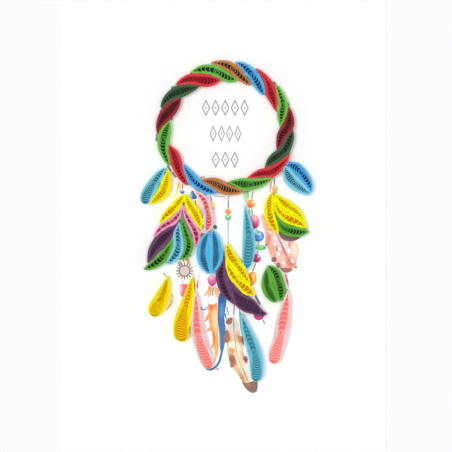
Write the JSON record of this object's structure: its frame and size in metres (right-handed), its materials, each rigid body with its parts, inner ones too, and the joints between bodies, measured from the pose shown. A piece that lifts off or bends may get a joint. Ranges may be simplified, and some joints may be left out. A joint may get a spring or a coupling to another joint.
{
  "type": "quilled paper art card",
  "caption": "Quilled paper art: a hoop of twisted leaf coils with fans of leaves and long hanging drops, rolled from coloured paper strips and glued on a printed white card.",
  "frame": {"origin": "centre of the card's back face, the face it lies on", "axes": "+Z out of the picture side, +Y towards the top of the upright picture, +X to its right"},
  "size_m": [0.127, 0.1778, 0.0034],
  "materials": {
    "red_paper": "matte",
    "orange_brown_paper": "matte",
    "blue_paper": "matte",
    "light_green_paper": "matte",
    "dark_red_paper": "matte",
    "dark_green_paper": "matte",
    "yellow_paper": "matte",
    "pink_paper": "matte",
    "purple_paper": "matte",
    "pale_blue_paper": "matte",
    "rose_paper": "matte",
    "card_stock": "matte",
    "print_salmon": "matte",
    "print_orange": "matte",
    "print_cream": "matte",
    "print_blue": "matte",
    "print_peach": "matte",
    "print_green": "matte",
    "print_pink": "matte",
    "print_crimson": "matte",
    "print_brown": "matte",
    "print_grey": "matte"
  },
  "bodies": {
    "root": {"hoop_leaf_03": "red_paper", "hoop_leaf_07": "red_paper", "hoop_leaf_11": "red_paper", "hoop_leaf_15": "red_paper", "hoop_leaf_01": "orange_brown_paper", "hoop_leaf_09": "orange_brown_paper", "hoop_leaf_02": "blue_paper", "hoop_leaf_10": "blue_paper", "right_pair_blue_leaf": "blue_paper", "middle_blue_leaf_1": "blue_paper", "middle_blue_leaf_2": "blue_paper", "hoop_leaf_04": "light_green_paper", "hoop_leaf_08": "light_green_paper", "hoop_leaf_12": "light_green_paper", "hoop_leaf_16": "light_green_paper", "left_fan_green_leaf_1": "light_green_paper", "left_fan_green_leaf_2": "light_green_paper", "right_fan_green_leaf": "light_green_paper", "lower_green_leaf_1": "light_green_paper", "lower_green_leaf_2": "light_green_paper", "hoop_leaf_05": "dark_red_paper", "hoop_leaf_13": "dark_red_paper", "hoop_leaf_06": "dark_green_paper", "hoop_leaf_14": "dark_green_paper", "left_pair_yellow_leaf": "yellow_paper", "left_fan_yellow_leaf_1": "yellow_paper", "left_fan_yellow_leaf_2": "yellow_paper", "right_fan_yellow_leaf_1": "yellow_paper", "right_fan_yellow_leaf_2": "yellow_paper", "right_fan_yellow_leaf_3": "yellow_paper", "centre_yellow_leaf_1": "yellow_paper", "centre_yellow_leaf_2": "yellow_paper", "drop_yellow_small": "yellow_paper", "drop_yellow_large": "yellow_paper", "left_fan_pink_leaf_1": "pink_paper", "left_fan_pink_leaf_2": "pink_paper", "left_fan_purple_leaf": "purple_paper", "centre_purple_leaf_1": "purple_paper", "centre_purple_leaf_2": "purple_paper", "left_pair_blue_drop": "pale_blue_paper", "left_fan_blue_leaf": "pale_blue_paper", "right_pair_pale_blue_leaf": "pale_blue_paper", "drop_blue_long": "pale_blue_paper", "drop_blue_lower": "pale_blue_paper", "rose_leaf": "rose_paper", "drop_rose_left": "rose_paper", "drop_rose_right": "rose_paper", "card": "card_stock", "print_salmon": "print_salmon", "print_orange": "print_orange", "print_cream": "print_cream", "print_blue": "print_blue", "print_peach": "print_peach", "print_green": "print_green", "print_pink": "print_pink", "print_crimson": "print_crimson", "print_brown": "print_brown", "print_grey": "print_grey"}
  },
  "joints": []
}
